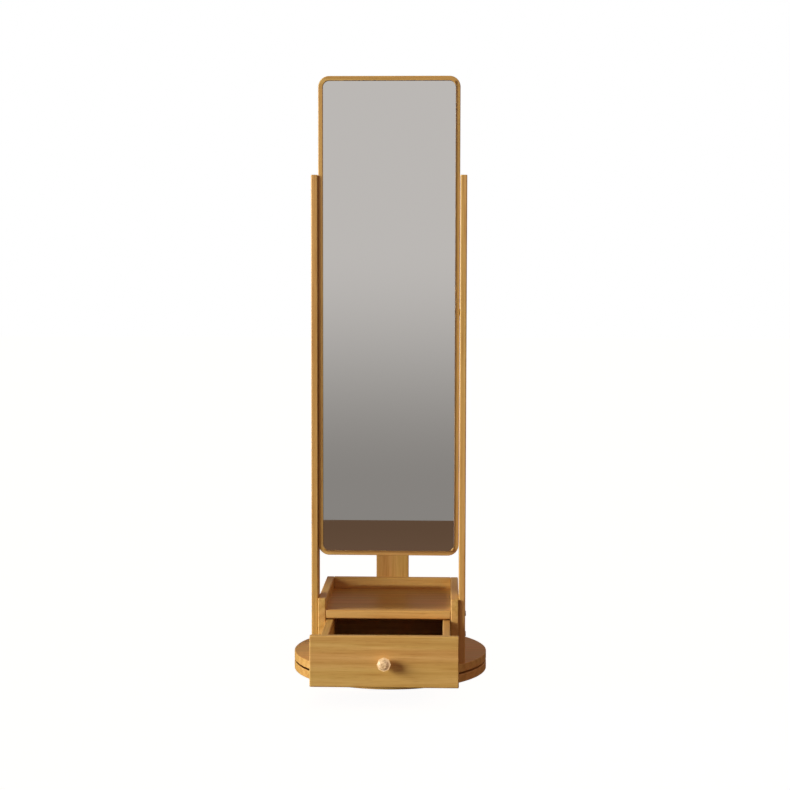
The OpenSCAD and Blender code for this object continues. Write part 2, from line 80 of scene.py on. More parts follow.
def add_node(tree, kind, values=None, **settings):
    """A shader node with its settings and its unlinked inputs filled in."""
    node = tree.nodes.new(kind)
    for key, value in settings.items():
        setattr(node, key, value)
    for key, value in (values or {}).items():
        node.inputs[key].default_value = value
    return node


def add_plane(name, size, location, turn=(0.0, 0.0, 0.0)):
    """A flat rectangle of the studio, with its place and size moved into its mesh."""
    bpy.ops.object.select_all(action="DESELECT")
    bpy.ops.mesh.primitive_plane_add(size=1.0, location=location, rotation=turn)
    plane = bpy.context.object
    plane.name = name
    plane.scale = (size[0], size[1], 1.0)
    bpy.ops.object.transform_apply(location=True, rotation=True, scale=True)
    return plane


def bare_material(name):
    """A material with nothing in it yet, and its node tree."""
    material = bpy.data.materials.new(name)
    material.use_nodes = True
    material.node_tree.nodes.clear()
    return material, material.node_tree


world = bpy.data.worlds.new("studio")
world.use_nodes = True
bpy.context.scene.world = world
sky = world.node_tree
sky.nodes.clear()
ray = add_node(sky, "ShaderNodeLightPath")
way_up = add_node(sky, "ShaderNodeTexCoord")
lean = add_node(sky, "ShaderNodeVectorMath", {1: SKY_LEAN}, operation="DOT_PRODUCT")
level = add_node(sky, "ShaderNodeMath", {1: SKY_LEVEL}, operation="ADD")
fill = add_node(sky, "ShaderNodeBackground", {"Color": FILL_TINT})
white = add_node(sky, "ShaderNodeBackground", {"Color": WHITE, "Strength": 1.0})
mixed = add_node(sky, "ShaderNodeMixShader")
world_out = add_node(sky, "ShaderNodeOutputWorld")
sky.links.new(way_up.outputs["Generated"], lean.inputs[0])
sky.links.new(lean.outputs["Value"], level.inputs[0])
sky.links.new(level.outputs["Value"], fill.inputs["Strength"])
sky.links.new(ray.outputs["Is Camera Ray"], mixed.inputs[0])
sky.links.new(fill.outputs[0], mixed.inputs[1])
sky.links.new(white.outputs[0], mixed.inputs[2])
sky.links.new(mixed.outputs[0], world_out.inputs["Surface"])

key_data = bpy.data.lights.new("key", "SUN")
key_data.energy = KEY_POWER
key_data.angle = KEY_SIZE
key_data.color = KEY_TINT
key = bpy.data.objects.new("key", key_data)
towards_key = Vector((-math.sin(KEY_FROM_FRONT) * math.cos(KEY_HEIGHT),
                      -math.cos(KEY_FROM_FRONT) * math.cos(KEY_HEIGHT),
                      math.sin(KEY_HEIGHT)))
key.rotation_mode = "QUATERNION"
key.rotation_quaternion = towards_key.to_track_quat("Z", "Y")
bpy.context.scene.collection.objects.link(key)

floor = add_plane("studio_floor", (FLOOR_SIZE, FLOOR_SIZE), (0.0, 0.0, 0.0))
floor_paint, paint = bare_material("studio_floor")
ray = add_node(paint, "ShaderNodeLightPath")
dull = add_node(paint, "ShaderNodeBsdfDiffuse", {"Color": FLOOR_TONE})
glow = add_node(paint, "ShaderNodeEmission", {"Color": WHITE, "Strength": FLOOR_GLOW})
both = add_node(paint, "ShaderNodeAddShader")
seen = add_node(paint, "ShaderNodeMixShader")
floor_out = add_node(paint, "ShaderNodeOutputMaterial")
paint.links.new(dull.outputs[0], both.inputs[0])
paint.links.new(glow.outputs[0], both.inputs[1])
paint.links.new(ray.outputs["Is Camera Ray"], seen.inputs[0])
paint.links.new(dull.outputs[0], seen.inputs[1])
paint.links.new(both.outputs[0], seen.inputs[2])
paint.links.new(seen.outputs[0], floor_out.inputs["Surface"])
floor.data.materials.append(floor_paint)
unlit = bpy.data.collections.new("not_lit_by_key")
unlit.objects.link(floor)
key.light_linking.receiver_collection = unlit
unlit.collection_objects[0].light_linking.link_state = "EXCLUDE"


def add_card(name, size, location, turn, low_tone, high_tone, low, high, axis):
    """A card that only gloss can see, with a tone that runs from low to high along an axis."""
    card = add_plane(name, size, location, turn)
    paint, tree = bare_material(name)
    where = add_node(tree, "ShaderNodeTexCoord")
    split = add_node(tree, "ShaderNodeSeparateXYZ")
    span = add_node(tree, "ShaderNodeMapRange", {"From Min": low, "From Max": high},
                    interpolation_type="SMOOTHSTEP")
    tone = add_node(tree, "ShaderNodeMix", data_type="RGBA")
    tone.inputs["A"].default_value = low_tone
    tone.inputs["B"].default_value = high_tone
    glow = add_node(tree, "ShaderNodeEmission", {"Strength": 1.0})
    out = add_node(tree, "ShaderNodeOutputMaterial")
    tree.links.new(where.outputs["Object"], split.inputs[0])
    tree.links.new(split.outputs[axis], span.inputs["Value"])
    tree.links.new(span.outputs["Result"], tone.inputs["Factor"])
    tree.links.new(tone.outputs["Result"], glow.inputs["Color"])
    tree.links.new(glow.outputs[0], out.inputs["Surface"])
    card.data.materials.append(paint)
    card.visible_camera = False
    card.visible_diffuse = False
    card.visible_shadow = False
    card.visible_transmission = False
    card.visible_volume_scatter = False


WALL_LOW = (0.262, 0.247, 0.232, 1.0)
WALL_HIGH = (0.552, 0.526, 0.508, 1.0)
FLOOR_FAR = (0.12, 0.07, 0.042, 1.0)
FLOOR_NEAR = (0.16, 0.095, 0.06, 1.0)
add_card("wall_card", (16.0, 6.0), (0.0, -3.1, 3.0), (math.pi / 2, 0.0, 0.0),
         WALL_LOW, WALL_HIGH, 0.15, 1.24, "Z")
add_card("floor_card", (16.0, 2.2), (0.0, -2.0, 0.002), (0.0, 0.0, 0.0),
         FLOOR_FAR, FLOOR_NEAR, -3.1, -0.9, "Y")

SOFTBOX_AWAY = 3.0
SOFTBOX_SIZE = (1.5, 1.8)
SOFTBOX_TINT = (1.0, 0.96, 0.90, 1.0)
SOFTBOX_LIGHT = 5.0
softbox = add_plane("softbox", SOFTBOX_SIZE, towards_key * SOFTBOX_AWAY,
                    towards_key.to_track_quat("Z", "Y").to_euler())
softbox_paint, paint = bare_material("softbox")
glow = add_node(paint, "ShaderNodeEmission", {"Color": SOFTBOX_TINT, "Strength": SOFTBOX_LIGHT})
out = add_node(paint, "ShaderNodeOutputMaterial")
paint.links.new(glow.outputs[0], out.inputs["Surface"])
softbox.data.materials.append(softbox_paint)
softbox.visible_camera = False
softbox.visible_diffuse = False
softbox.visible_shadow = False


def only_shades(flag):
    """Hides a flag from everything but the light that it stops."""
    flag.visible_camera = False
    flag.visible_diffuse = False
    flag.visible_glossy = False
    flag.visible_transmission = False


UPRIGHT = (0.0, math.pi / 2, 0.0)
SHELF_FLAG_SHORT = (0.045, 0.020)
SHELF_FLAG_RAISED = 0.015
STILE_FLAG_DEPTH = 0.0065
RAIL_FLAG_DEPTH = 0.012
LIP_FLAG_INSET = 0.002
GAP_FLAG_INSET = 0.0022
only_shades(add_plane("coat_post_flag", (0.55, 0.50), (-0.59, 0.142, 0.275), UPRIGHT))
low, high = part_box("shoe_shelf")
only_shades(add_plane("shelf_flag", (high.x - low.x - SHELF_FLAG_SHORT[0],
                                     high.y - low.y - SHELF_FLAG_SHORT[1]),
                      (-0.018, (low.y + high.y) / 2, high.z + SHELF_FLAG_RAISED)))
low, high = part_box("mirror_glass")
only_shades(add_plane("stile_flag", (high.z - low.z, STILE_FLAG_DEPTH),
                      (high.x - LIP_FLAG_INSET, low.y - STILE_FLAG_DEPTH / 2 - 0.001,
                       (low.z + high.z) / 2), UPRIGHT))
only_shades(add_plane("rail_flag", (high.x - low.x, RAIL_FLAG_DEPTH),
                      (0.0, low.y - RAIL_FLAG_DEPTH / 2 - 0.001, low.z + LIP_FLAG_INSET)))
gap_low, gap_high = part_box("lower_disc")[1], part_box("upper_disc")[0]
bpy.ops.object.select_all(action="DESELECT")
bpy.ops.mesh.primitive_cylinder_add(
    vertices=96, radius=gap_low.x - GAP_FLAG_INSET, depth=gap_high.z - gap_low.z - 0.0002,
    end_fill_type="NOTHING", location=(0.0, 0.0, (gap_low.z + gap_high.z) / 2))
bpy.context.object.name = "gap_flag"
only_shades(bpy.context.object)


# --- Lower disc ---------------------------------------------------------------------------
# The still half of the base: a round of light golden wood, glued up from planks, with
# softly rounded rims. A ring is milled into its top for the lower race of the bearing.
GOLDEN = ((0.490, 0.250, 0.060), (0.605, 0.340, 0.098), (0.700, 0.425, 0.145))
OLIVE = (0.985, 1.02, 0.95)
ORANGE = (1.03, 0.96, 1.00)
FLECK_TINT = (0.74, 0.58, 0.38, 1.0)
PORE_TINT = (0.62, 0.48, 0.34, 1.0)
FIBRE_PITCH = 420.0
STREAK_PITCH = 120.0
FLECK_PITCH = 240.0
PORE_PITCH = 1300.0
CLOUD_PITCH = 9.0
BAND_PITCH = 26.0
RING_SCALE = 13.0
STREAK_SHARE = 0.52
RING_SHARE = 0.13
FIBRE_SHARE = 0.22
CLOUD_SHARE = 0.22
PLANK_SHARE = 0.13
LACQUER = 0.12
LACQUER_ROUGHNESS = 0.28
SHARP_ANGLE = math.radians(30)
SMOOTH_ANGLE = math.radians(32)
NEAR = 0.0005


def wood_material(name, grain, shift, tones=GOLDEN, planks=None, gloss=0.42):
    """Straight-grained lacquered wood. The grain runs along one axis, and shift moves the
    pattern so that no two boards are alike. Planks gives the axis and width of glued strips.
    Streaks, growth rings, fibres and clouds make the figure; flecks and pores darken it."""
    material = bpy.data.materials.new(name)
    material.use_nodes = True
    tree = material.node_tree
    shader = tree.nodes["Principled BSDF"]
    link = tree.links.new
    where = add_node(tree, "ShaderNodeTexCoord")
    along = "XYZ".index(grain)

    def stretched(lengthwise, across):
        scale = [across] * 3
        scale[along] = lengthwise
        mapping = add_node(tree, "ShaderNodeMapping")
        mapping.inputs["Location"].default_value = shift
        mapping.inputs["Scale"].default_value = scale
        link(where.outputs["Object"], mapping.inputs["Vector"])
        return mapping.outputs["Vector"]

    def noise(vector, detail, roughness=0.5, distortion=0.0):
        texture = add_node(tree, "ShaderNodeTexNoise", {
            "Scale": 1.0, "Detail": detail, "Roughness": roughness, "Distortion": distortion})
        link(vector, texture.inputs["Vector"])
        return texture.outputs["Fac"]

    def combine(operation, first, second):
        maths = add_node(tree, "ShaderNodeMath", operation=operation)
        for socket, value in zip(maths.inputs, (first, second)):
            if isinstance(value, float):
                socket.default_value = value
            else:
                link(value, socket)
        return maths.outputs[0]

    def ramp(value, stops):
        colours = add_node(tree, "ShaderNodeValToRGB")
        elements = colours.color_ramp.elements
        while len(elements) < len(stops):
            elements.new(0.5)
        for element, (place, colour) in zip(elements, stops):
            element.position = place
            element.color = (*colour, 1.0)
        link(value, colours.inputs["Fac"])
        return colours.outputs["Color"]

    def mask(value, low, high, least, most):
        spread = add_node(tree, "ShaderNodeMapRange", {
            "From Min": low, "From Max": high, "To Min": least, "To Max": most})
        link(value, spread.inputs["Value"])
        return spread.outputs["Result"]

    def stained(colour, share, tint):
        mixed = add_node(tree, "ShaderNodeMix", data_type="RGBA", blend_type="MULTIPLY")
        mixed.inputs["B"].default_value = tint
        link(share, mixed.inputs["Factor"])
        link(colour, mixed.inputs["A"])
        return mixed.outputs["Result"]

    fibres = noise(stretched(7.0, FIBRE_PITCH), 3.0, 0.6)
    streaks = noise(stretched(3.2, STREAK_PITCH), 5.0, 0.6, 0.15)
    flecks = noise(stretched(9.0, FLECK_PITCH), 2.0)
    pores = noise(stretched(34.0, PORE_PITCH), 1.0)
    clouds = noise(stretched(1.6, CLOUD_PITCH), 2.0, 0.5)
    bands = noise(stretched(0.9, BAND_PITCH), 2.0, 0.45)
    rings = add_node(tree, "ShaderNodeTexWave", {
        "Scale": RING_SCALE, "Distortion": 4.0, "Detail": 2.0, "Detail Scale": 0.6,
        "Detail Roughness": 0.5}, wave_type="RINGS", rings_direction=grain, wave_profile="SIN")
    link(stretched(0.16, 1.0), rings.inputs["Vector"])
    figure = combine("MULTIPLY", streaks, STREAK_SHARE)
    for part, share in ((rings.outputs["Fac"], RING_SHARE), (fibres, FIBRE_SHARE),
                        (clouds, CLOUD_SHARE)):
        figure = combine("ADD", figure, combine("MULTIPLY", part, share))
    if planks:
        plank_axis, plank_width = planks
        split = add_node(tree, "ShaderNodeSeparateXYZ")
        link(where.outputs["Object"], split.inputs[0])
        index = combine("FLOOR", combine("DIVIDE", split.outputs[plank_axis], plank_width), 0.0)
        lot = add_node(tree, "ShaderNodeTexWhiteNoise", noise_dimensions="1D")
        link(index, lot.inputs["W"])
        figure = combine("ADD", figure, combine(
            "MULTIPLY", combine("SUBTRACT", lot.outputs["Value"], 0.5), PLANK_SHARE))
    tinted = add_node(tree, "ShaderNodeMix", {0: 1.0}, data_type="RGBA", blend_type="MULTIPLY")
    link(ramp(figure, ((0.34, tones[0]), (0.54, tones[1]), (0.76, tones[2]))), tinted.inputs["A"])
    link(ramp(bands, ((0.38, OLIVE), (0.62, ORANGE))), tinted.inputs["B"])
    flecked = stained(tinted.outputs["Result"], mask(flecks, 0.54, 0.68, 0.0, 0.42), FLECK_TINT)
    pore_mask = mask(pores, 0.60, 0.70, 0.0, 0.34)
    link(stained(flecked, pore_mask, PORE_TINT), shader.inputs["Base Color"])
    link(mask(streaks, 0.3, 0.7, gloss - 0.06, gloss + 0.09), shader.inputs["Roughness"])
    bump = add_node(tree, "ShaderNodeBump", {"Strength": 0.22, "Distance": 0.0004})
    link(combine("SUBTRACT", fibres, pore_mask), bump.inputs["Height"])
    link(bump.outputs["Normal"], shader.inputs["Normal"])
    shader.inputs["Specular IOR Level"].default_value = 0.45
    shader.inputs["Coat Weight"].default_value = LACQUER
    shader.inputs["Coat Roughness"].default_value = LACQUER_ROUGHNESS
    return material


def settle(name):
    """Names the new piece and moves its place, turn and size into its mesh."""
    piece = bpy.context.object
    piece.name = name
    piece.data.name = name
    bpy.ops.object.transform_apply(location=True, rotation=True, scale=True)
    return piece


def add_round(name, radius, low, high, axis="Z", sides=64):
    """A round bar between two points along an axis."""
    turn = {"X": (0.0, math.pi / 2, 0.0), "Y": (math.pi / 2, 0.0, 0.0), "Z": (0.0, 0.0, 0.0)}
    low, high = Vector(low), Vector(high)
    bpy.ops.object.select_all(action="DESELECT")
    bpy.ops.mesh.primitive_cylinder_add(vertices=sides, radius=radius, depth=(high - low).length,
                                        location=(low + high) / 2, rotation=turn[axis])
    return settle(name)


def bevel_edges(piece, width, segments, wanted):
    """Bevels the sharp edges that wanted() picks by their middle and their direction."""
    bpy.ops.object.select_all(action="DESELECT")
    bpy.context.view_layer.objects.active = piece
    piece.select_set(True)
    bpy.ops.object.mode_set(mode="EDIT")
    bpy.ops.mesh.select_mode(type="EDGE")
    bpy.ops.mesh.select_all(action="DESELECT")
    bpy.ops.mesh.edges_select_sharp(sharpness=SHARP_ANGLE)
    bpy.ops.object.mode_set(mode="OBJECT")
    points = piece.data.vertices
    weights = piece.data.attributes.new("bevel_weight_edge", "FLOAT", "EDGE")
    for edge in piece.data.edges:
        start, end = (points[i].co for i in edge.vertices)
        if edge.select and wanted((start + end) / 2, (end - start).normalized()):
            weights.data[edge.index].value = 1.0
    bpy.ops.object.modifier_add(type="BEVEL")
    bevel = piece.modifiers[-1]
    bevel.limit_method = "WEIGHT"
    bevel.width = width
    bevel.segments = segments
    bevel.use_clamp_overlap = False
    bpy.ops.object.modifier_apply(modifier=bevel.name)
    piece.data.attributes.remove(piece.data.attributes["bevel_weight_edge"])


def cut_out(piece, cutter):
    """Cuts one piece's shape out of another, and throws the cutter away."""
    bpy.ops.object.select_all(action="DESELECT")
    bpy.context.view_layer.objects.active = piece
    piece.select_set(True)
    bpy.ops.object.modifier_add(type="BOOLEAN")
    piece.modifiers[-1].operation = "DIFFERENCE"
    piece.modifiers[-1].object = cutter
    bpy.ops.object.modifier_apply(modifier=piece.modifiers[-1].name)
    bpy.data.objects.remove(cutter)


def finish_piece(piece, body, node, material):
    """Smooths the rounded edges, gives the piece its finish, and puts it on its body."""
    bpy.ops.object.select_all(action="DESELECT")
    bpy.context.view_layer.objects.active = piece
    piece.select_set(True)
    bpy.ops.object.shade_smooth_by_angle(angle=SMOOTH_ANGLE)
    bpy.ops.object.modifier_add(type="WEIGHTED_NORMAL")
    piece.modifiers[-1].keep_sharp = True
    bpy.ops.object.modifier_apply(modifier=piece.modifiers[-1].name)
    piece.data.materials.clear()
    piece.data.materials.append(material)
    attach(piece, body)
    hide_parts(node)


DISC_SIDES = 192
DISC_RIM = 0.0020
DISC_PLANKS = ("Y", 0.088)
RACE_OUTER = 0.1222
RACE_INNER = 0.0978
BOLT_BORE = 0.0041
BOLT_RECESS = 0.013
BOLT_RECESS_DEPTH = 0.008
OVERCUT = 0.01


def race_channel(low, high):
    """A ring-shaped cutter for the bearing race."""
    ring = add_round("cutter", RACE_OUTER, (0, 0, low), (0, 0, high), sides=128)
    cut_out(ring, add_round("core", RACE_INNER, (0, 0, low - OVERCUT), (0, 0, high + OVERCUT),
                            sides=128))
    return ring


low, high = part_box("lower_disc")
rim_radius = min(-low.x, high.x)
lower_disc = add_round("lower_disc_wood", rim_radius, (0, 0, low.z), (0, 0, high.z), sides=DISC_SIDES)
bevel_edges(lower_disc, DISC_RIM, 5, lambda mid, way: abs(way.z) < 0.5)
cut_out(lower_disc, race_channel(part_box("lower_race")[0].z, high.z + OVERCUT))
cut_out(lower_disc, add_round("cutter", BOLT_RECESS, (0, 0, low.z - OVERCUT),
                              (0, 0, low.z + BOLT_RECESS_DEPTH)))
cut_out(lower_disc, add_round("cutter", BOLT_BORE, (0, 0, low.z), (0, 0, high.z + OVERCUT)))
finish_piece(lower_disc, "base", "lower_disc",
             wood_material("wood_lower_disc", "X", (0.31, 0.0, 0.07), planks=DISC_PLANKS))


# --- Rubber feet --------------------------------------------------------------------------
# Black moulded rubber: six small feet round the rim and a wide one over the centre bolt,
# each with a chamfered edge and a shallow ring pressed into its sole.
RUBBER = (0.022, 0.022, 0.023)
SMALL_FOOT = 0.014
CENTRE_FOOT = 0.022
SMALL_FEET = 6
SOLE_CHAMFER = 0.0006
SOLE_RING_DEPTH = 0.0006


def plain_material(name, colour, roughness, metallic=0.0, grain_size=300.0, relief=0.1, vary=0.12):
    """A moulded or metal finish with a fine texture and a slightly uneven colour and gloss."""
    material = bpy.data.materials.new(name)
    material.use_nodes = True
    tree = material.node_tree
    shader = tree.nodes["Principled BSDF"]
    where = add_node(tree, "ShaderNodeTexCoord")
    fine = add_node(tree, "ShaderNodeTexNoise", {"Scale": grain_size, "Detail": 4.0})
    patchy = add_node(tree, "ShaderNodeTexNoise", {"Scale": grain_size / 14, "Detail": 3.0})
    tree.links.new(where.outputs["Object"], fine.inputs["Vector"])
    tree.links.new(where.outputs["Object"], patchy.inputs["Vector"])
    colours = add_node(tree, "ShaderNodeValToRGB")
    colours.color_ramp.elements[0].position = 0.3
    colours.color_ramp.elements[0].color = (*(c * (1 - vary) for c in colour), 1.0)
    colours.color_ramp.elements[1].position = 0.7
    colours.color_ramp.elements[1].color = (*(min(1.0, c * (1 + vary)) for c in colour), 1.0)
    tree.links.new(patchy.outputs["Fac"], colours.inputs["Fac"])
    tree.links.new(colours.outputs["Color"], shader.inputs["Base Color"])
    dullness = add_node(tree, "ShaderNodeMapRange", {
        "From Min": 0.3, "From Max": 0.7,
        "To Min": roughness * 0.85, "To Max": min(1.0, roughness * 1.2)})
    tree.links.new(fine.outputs["Fac"], dullness.inputs["Value"])
    tree.links.new(dullness.outputs["Result"], shader.inputs["Roughness"])
    bump = add_node(tree, "ShaderNodeBump", {"Strength": relief, "Distance": 0.0002})
    tree.links.new(fine.outputs["Fac"], bump.inputs["Height"])
    tree.links.new(bump.outputs["Normal"], shader.inputs["Normal"])
    shader.inputs["Metallic"].default_value = metallic
    return material


def pick_faces(piece, wanted):
    """Goes into edit mode with the faces selected that wanted() picks by middle and normal."""
    bpy.ops.object.select_all(action="DESELECT")
    bpy.context.view_layer.objects.active = piece
    piece.select_set(True)
    bpy.ops.object.mode_set(mode="EDIT")
    bpy.ops.mesh.select_mode(type="FACE")
    bpy.ops.mesh.select_all(action="DESELECT")
    bpy.ops.object.mode_set(mode="OBJECT")
    for face in piece.data.polygons:
        face.select = wanted(face.center, face.normal)
    bpy.ops.object.mode_set(mode="EDIT")


def join_all(name, parts):
    """Joins like parts into one piece."""
    bpy.ops.object.select_all(action="DESELECT")
    for part in parts:
        part.select_set(True)
    bpy.context.view_layer.objects.active = parts[0]
    bpy.ops.object.join()
    return settle(name)


low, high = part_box("rubber_feet")
foot_places = [(0.0, 0.0, CENTRE_FOOT)]
foot_ring = high.y - SMALL_FOOT
for i in range(SMALL_FEET):
    turn = (i + 0.5) * 2 * math.pi / SMALL_FEET
    foot_places.append((foot_ring * math.cos(turn), foot_ring * math.sin(turn), SMALL_FOOT))
feet = []
for x, y, radius in foot_places:
    foot = add_round("foot", radius, (x, y, low.z), (x, y, high.z), sides=48)
    bevel_edges(foot, SOLE_CHAMFER, 2, lambda mid, way: abs(way.z) < 0.5 and mid.z < low.z + NEAR)
    pick_faces(foot, lambda mid, normal: normal.z < -0.99)
    bpy.ops.mesh.inset(thickness=0.003)
    bpy.ops.mesh.inset(thickness=0.0008)
    bpy.ops.transform.translate(value=(0.0, 0.0, SOLE_RING_DEPTH))
    bpy.ops.mesh.inset(thickness=0.0015)
    bpy.ops.mesh.inset(thickness=0.0008)
    bpy.ops.transform.translate(value=(0.0, 0.0, -SOLE_RING_DEPTH))
    bpy.ops.object.mode_set(mode="OBJECT")
    feet.append(foot)
finish_piece(join_all("rubber_foot_set", feet), "base", "rubber_feet",
             plain_material("rubber", RUBBER, 0.75, grain_size=900.0, relief=0.25))


# --- Upper disc ---------------------------------------------------------------------------
# The turning half of the base, the same size as the lower disc, with the case, the posts
# and the coat post standing on it. The centre bolt's nut sits in a recess under the drawer.
SWIVEL_BORE = 0.00405
NUT_RECESS_DEPTH = 0.012
low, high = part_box("upper_disc")
upper_disc = add_round("upper_disc_wood", rim_radius, (0, 0, low.z), (0, 0, high.z), sides=DISC_SIDES)
bevel_edges(upper_disc, DISC_RIM, 5, lambda mid, way: abs(way.z) < 0.5)
cut_out(upper_disc, race_channel(low.z - OVERCUT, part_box("upper_race")[1].z))
cut_out(upper_disc, add_round("cutter", BOLT_RECESS, (0, 0, high.z - NUT_RECESS_DEPTH),
                              (0, 0, high.z + OVERCUT)))
cut_out(upper_disc, add_round("cutter", SWIVEL_BORE, (0, 0, low.z - OVERCUT), (0, 0, high.z)))
finish_piece(upper_disc, "turntable", "upper_disc",
             wood_material("wood_upper_disc", "X", (0.77, 0.4, 0.02), planks=DISC_PLANKS))


# --- Case: side panels, back panel and shoe shelf -------------------------------------------
# Solid boards, dowelled together and screwed up from under the disc, with their edges
# rounded over by a router. The side panels' grain runs front to back, so their ends show.
BOARD_EDGE = 0.0030
BACK_EDGE = 0.0018
SHELF_EDGE = 0.0045


def add_board(name, low, high):
    """A plain board between two opposite corners."""
    low, high = Vector(low), Vector(high)
    bpy.ops.object.select_all(action="DESELECT")
    bpy.ops.mesh.primitive_cube_add(size=1.0, location=(low + high) / 2)
    bpy.context.object.scale = high - low
    return settle(name)


def any_edge(mid, way):
    """Picks every sharp edge."""
    return True


for side in ("left", "right"):
    panel = add_board(side + "_side_board", *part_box(side + "_side_panel"))
    bevel_edges(panel, BOARD_EDGE, 5, any_edge)
    finish_piece(panel, "turntable", side + "_side_panel", wood_material(
        "wood_" + side + "_side", "Y", (0.0, 0.43 if side == "left" else 0.91, 0.2)))

back_panel = add_board("back_board", *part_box("back_panel"))
bevel_edges(back_panel, BACK_EDGE, 4, any_edge)
finish_piece(back_panel, "turntable", "back_panel",
             wood_material("wood_back", "X", (0.12, 0.66, 0.31)))

shelf = add_board("shoe_shelf_board", *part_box("shoe_shelf"))
shelf_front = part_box("shoe_shelf")[0].y
bevel_edges(shelf, SHELF_EDGE, 6, lambda mid, way: mid.y < shelf_front + NEAR or abs(way.z) > 0.5)
finish_piece(shelf, "turntable", "shoe_shelf",
             wood_material("wood_shelf", "X", (0.52, 0.24, 0.11)))


# --- Side posts ---------------------------------------------------------------------------
# Tall flat posts of solid wood outside the case, with round edges. A stepped hole through
# each holds the tilt pivot's bush and bolt head, closed with a flush wooden cap.
POST_EDGE = 0.0030
POST_TOP_EDGE = 0.0020
PIVOT_RECESS = 0.0096
PIVOT_BORE = 0.0066
BUSH_FLANGE = 0.0015
CAP_RADIUS = 0.0093
CAP_THICKNESS = 0.0024
CAP_EDGE = 0.0005
low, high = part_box("pivot_washers")
pivot_y = (low.y + high.y) / 2
pivot_z = (low.z + high.z) / 2
flange_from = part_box("pivot_bushes")[1].x - BUSH_FLANGE


def pivot_bar(name, sign, radius, start, end):
    """A round bar along the tilt axis, on the side that sign gives."""
    return add_round(name, radius, (sign * start, pivot_y, pivot_z), (sign * end, pivot_y, pivot_z),
                     axis="X", sides=64)


for side, sign in (("left", -1), ("right", 1)):
    low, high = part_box(side + "_post")
    inside, outside = sorted((abs(low.x), abs(high.x)))
    post = add_board(side + "_post_wood", low, high)
    bevel_edges(post, POST_EDGE, 6, lambda mid, way: abs(way.z) > 0.5)
    bevel_edges(post, POST_TOP_EDGE, 4, lambda mid, way: mid.z > high.z - NEAR)
    cut_out(post, pivot_bar("cutter", sign, PIVOT_BORE, inside - OVERCUT, outside + OVERCUT))
    cut_out(post, pivot_bar("cutter", sign, PIVOT_RECESS, flange_from, outside + OVERCUT))
    finish_piece(post, "turntable", side + "_post", wood_material(
        "wood_" + side + "_post", "Z", (0.61 if side == "left" else 0.27, 0.15, 0.4)))

caps = []
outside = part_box("pivot_caps")[1].x
for sign in (-1, 1):
    cap = pivot_bar("cap", sign, CAP_RADIUS, outside - CAP_THICKNESS, outside)
    bevel_edges(cap, CAP_EDGE, 3, lambda mid, way: abs(way.x) < 0.5)
    caps.append(cap)
finish_piece(join_all("pivot_cap_pair", caps), "turntable", "pivot_caps",
             wood_material("wood_caps", "Z", (0.9, 0.2, 0.7)))


# --- Post bolts ---------------------------------------------------------------------------
# Low-headed zinc-plated furniture bolts that hold each post to its side panel. The heads
# are slightly domed and have a hexagon socket.
ZINC = (0.56, 0.56, 0.57)
BOLT_HEAD_RADIUS = 0.007
BOLT_HEAD_HEIGHT = 0.0022
BOLT_HEAD_DOME = 0.0014
SOCKET_RADIUS = 0.0023
SOCKET_DEPTH = 0.0017
low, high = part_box("post_bolts")
y, outer = (low.y + high.y) / 2, high.x
heads = []
for sign in (-1, 1):
    for z in (low.z + BOLT_HEAD_RADIUS, high.z - BOLT_HEAD_RADIUS):
        head = add_round("head", BOLT_HEAD_RADIUS, (sign * (outer - BOLT_HEAD_HEIGHT), y, z),
                         (sign * outer, y, z), axis="X", sides=48)
        bevel_edges(head, BOLT_HEAD_DOME, 4,
                    lambda mid, way: abs(way.x) < 0.5 and abs(mid.x) > outer - NEAR)
        cut_out(head, add_round("cutter", SOCKET_RADIUS, (sign * (outer - SOCKET_DEPTH), y, z),
                                (sign * (outer + OVERCUT), y, z), axis="X", sides=6))
        heads.append(head)
zinc = plain_material("zinc", ZINC, 0.34, metallic=1.0, grain_size=700.0, relief=0.06)
finish_piece(join_all("post_bolt_heads", heads), "turntable", "post_bolts", zinc)


# --- Coat post ----------------------------------------------------------------------------
# A flat upright board behind the case, screwed to the back panel and up through the disc,
# with round top corners.
COAT_POST_CORNER = 0.018
COAT_POST_EDGE = 0.0028
low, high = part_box("coat_post")
coat_post = add_board("coat_post_board", low, high)
bevel_edges(coat_post, COAT_POST_CORNER, 10,
            lambda mid, way: abs(way.y) > 0.5 and mid.z > high.z - NEAR)
bevel_edges(coat_post, COAT_POST_EDGE, 4,
            lambda mid, way: abs(way.y) < 0.5 and not low.y + NEAR < mid.y < high.y - NEAR)
finish_piece(coat_post, "turntable", "coat_post",
             wood_material("wood_coat_post", "Z", (0.35, 0.72, 0.0)))


# --- Peg bar and pegs -----------------------------------------------------------------------
# A short board with round ends, bolted across the back of the coat post, and five turned
# pegs glued into it, each with a round head that keeps a hanger from sliding off.
PEG_BAR_CORNER = 0.0235
PEG_BAR_EDGE = 0.0025
PEG_COUNT = 5
PEG_RADIUS = 0.0080
PEG_WAIST = 0.82
PEG_FLARE = 1.98
PEG_FLARE_LENGTH = 0.003
PEG_HEAD_LENGTH = 0.009
PEG_HEAD_EDGE = 0.0030
bar_low, bar_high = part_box("peg_bar")
peg_bar = add_board("peg_bar_board", bar_low, bar_high)
bevel_edges(peg_bar, PEG_BAR_CORNER, 12, lambda mid, way: abs(way.y) > 0.5)
bevel_edges(peg_bar, PEG_BAR_EDGE, 4, lambda mid, way: abs(way.y) < 0.5)
finish_piece(peg_bar, "turntable", "peg_bar",
             wood_material("wood_peg_bar", "X", (0.05, 0.33, 0.5)))

